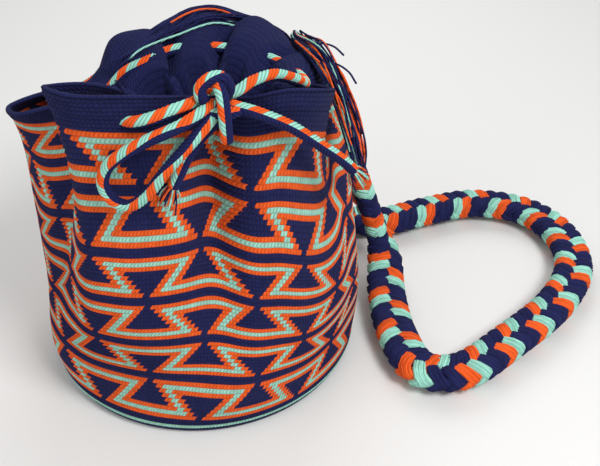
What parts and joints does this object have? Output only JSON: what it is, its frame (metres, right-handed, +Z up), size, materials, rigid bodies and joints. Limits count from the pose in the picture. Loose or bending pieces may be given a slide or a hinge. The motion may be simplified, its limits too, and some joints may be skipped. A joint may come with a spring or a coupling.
{
  "type": "wayuu mochila bag",
  "caption": "Round crocheted shoulder bag, patterned wall, gathered rim with a threaded drawstring tied in a bow, thick plaited strap with loose yarn at its ends.",
  "frame": {"origin": "centre of the flat base, on the surface the bag stands on", "axes": "+Z up out of the mouth, -Y to the front, where the bow is, +X towards the side where the strap lies"},
  "size_m": [0.4638, 0.3066, 0.2725],
  "materials": {
    "navy_cotton": "matt crocheted cotton",
    "mint_cotton": "matt braided cotton",
    "orange_cotton": "matt plaited cotton"
  },
  "bodies": {
    "root": {"bag_body": "navy_cotton", "drawstring": "mint_cotton", "drawstring_bow": "mint_cotton", "drawstring_left_end": "mint_cotton", "drawstring_right_end": "mint_cotton", "drawstring_knot": "mint_cotton", "strap": "orange_cotton", "strap_binding_left": "navy_cotton", "strap_binding_right": "navy_cotton", "yarn_right": "navy_cotton", "yarn_back": "navy_cotton", "yarn_left": "navy_cotton"}
  },
  "joints": []
}
